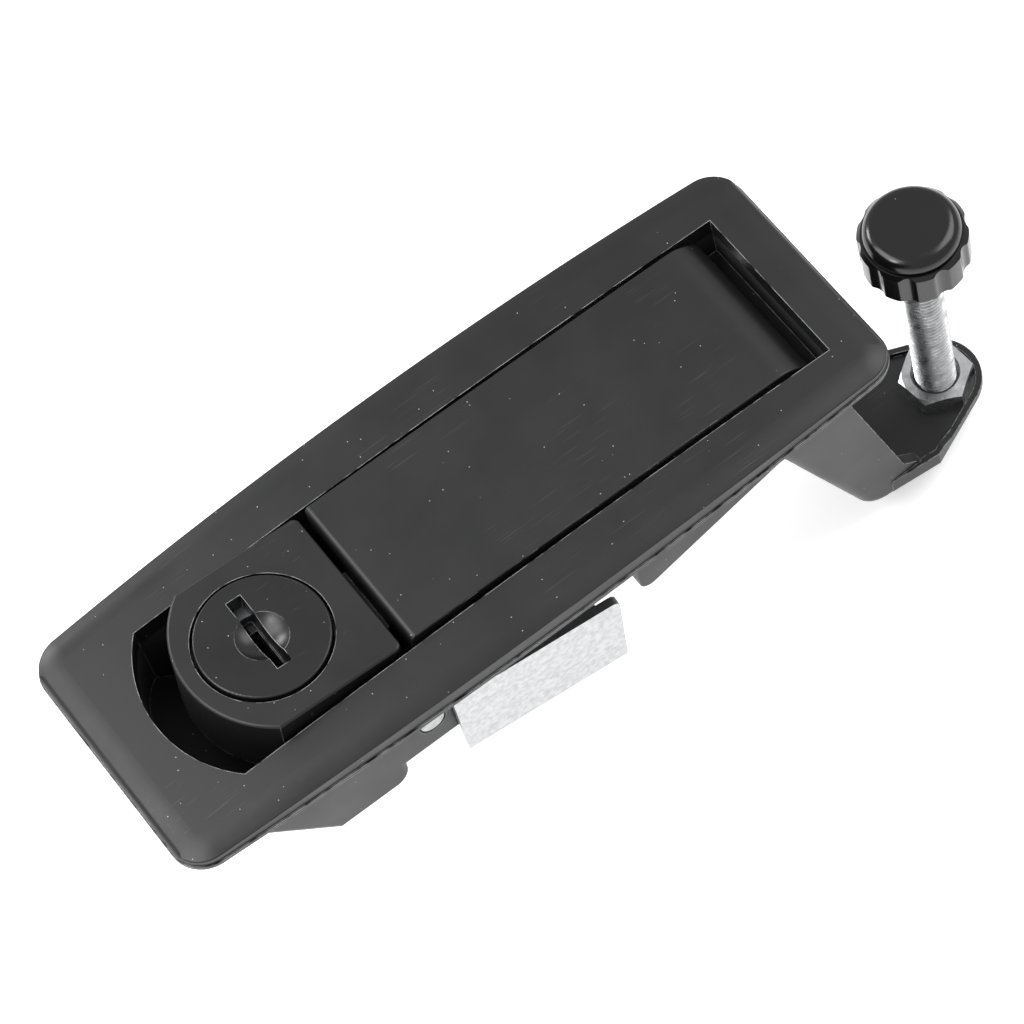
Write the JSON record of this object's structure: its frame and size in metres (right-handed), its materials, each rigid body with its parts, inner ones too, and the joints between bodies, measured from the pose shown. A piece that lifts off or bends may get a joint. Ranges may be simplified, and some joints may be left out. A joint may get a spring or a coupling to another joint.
{
  "type": "flush lever latch",
  "caption": "Flush compression latch: crowned bezel, folding lever with a bent steel arm and adjusting bolt, key-locked trigger and a clamping bracket.",
  "frame": {"origin": "centre of the panel cut-out on the outer face of the panel, which is the underside of the bezel", "axes": "+X along the bezel towards the arm, +Y across it, +Z out of the panel towards the user"},
  "size_m": [0.161, 0.05, 0.0735],
  "materials": {
    "black_powder_coat": "satin black powder coat over zinc casting",
    "black_rotor": "satin black paint, slightly smoother than the coat",
    "black_steel": "semi-gloss black electrocoat on pressed steel",
    "die_cast_zinc": "bare zinc casting, dull grey",
    "bright_steel": "plain drawn steel",
    "zinc_plate": "bright zinc plate",
    "zinc_plate_sheet": "pale zinc-plated sheet with sheared edges",
    "black_plastic": "glossy black moulded plastic",
    "brass": "plain brass stampings",
    "spring_steel": "oiled spring wire"
  },
  "bodies": {
    "frame": {"housing": "black_powder_coat", "lever_pin": "bright_steel", "trigger_pin": "bright_steel", "trigger_spring": "spring_steel"},
    "handle": {"lever": "black_powder_coat", "arm": "black_steel", "arm_screws": "black_steel", "arm_washers": "zinc_plate"},
    "lock_nut_body": {"lock_nut": "zinc_plate"},
    "bolt": {"adjusting_bolt": "zinc_plate"},
    "knob_body": {"knob": "black_plastic"},
    "button": {"trigger": "black_powder_coat", "lock_barrel": "die_cast_zinc", "barrel_nut": "zinc_plate"},
    "rotor": {"lock_rotor": "black_rotor", "wafers": "brass", "lock_cam": "zinc_plate", "cam_washer": "zinc_plate", "cam_screw": "zinc_plate"},
    "clamp": {"bracket": "zinc_plate_sheet", "clamp_washer": "zinc_plate"},
    "clamp_screw_body": {"clamp_screw": "zinc_plate"}
  },
  "joints": [
    {"name": "lever_open", "type": "hinge", "parent": "frame", "child": "handle", "pos_m": [0.0496, 0, -0.0028], "axis": [0, 1, 0], "range_deg": [0, 60]},
    {"name": "trigger_press", "type": "hinge", "parent": "frame", "child": "button", "pos_m": [-0.0219, 0, -0.0149], "axis": [0, -1, 0], "range_deg": [0, 6.5], "stiffness_Nm_per_rad": 0.6, "springref_deg": -20.05, "deforming": ["trigger_spring"]},
    {"name": "key_turn", "type": "hinge", "parent": "button", "child": "rotor", "pos_m": [-0.0365, 0, 0.00707], "axis": [0.0941, 0, 0.9956], "range_deg": [0, 90]},
    {"name": "nut_travel", "type": "slide", "parent": "handle", "child": "lock_nut_body", "axis": [0, 0, 1], "range_m": [0, 0.008]},
    {"name": "bolt_travel", "type": "slide", "parent": "handle", "child": "bolt", "axis": [0, 0, 1], "range_m": [-0.02, 0.003]},
    {"name": "knob_turn", "type": "hinge", "parent": "bolt", "child": "knob_body", "pos_m": [0.0854, 0, -0.0176], "axis": [0, 0, 1], "range_deg": [-7220, 1100]},
    {"name": "clamp_travel", "type": "slide", "parent": "frame", "child": "clamp", "axis": [0, 0, 1], "range_m": [0, 0.0082]},
    {"name": "clamp_screw_turn", "type": "hinge", "parent": "clamp", "child": "clamp_screw_body", "pos_m": [-0.0035, 0, -0.028], "axis": [0, 0, 1], "range_deg": [-20, 3710]}
  ],
  "couplings": [
    {"joint": "knob_turn", "follows": "bolt_travel", "rad_per_m": 6283.2},
    {"joint": "clamp_screw_turn", "follows": "clamp_travel", "rad_per_m": 7854}
  ]
}
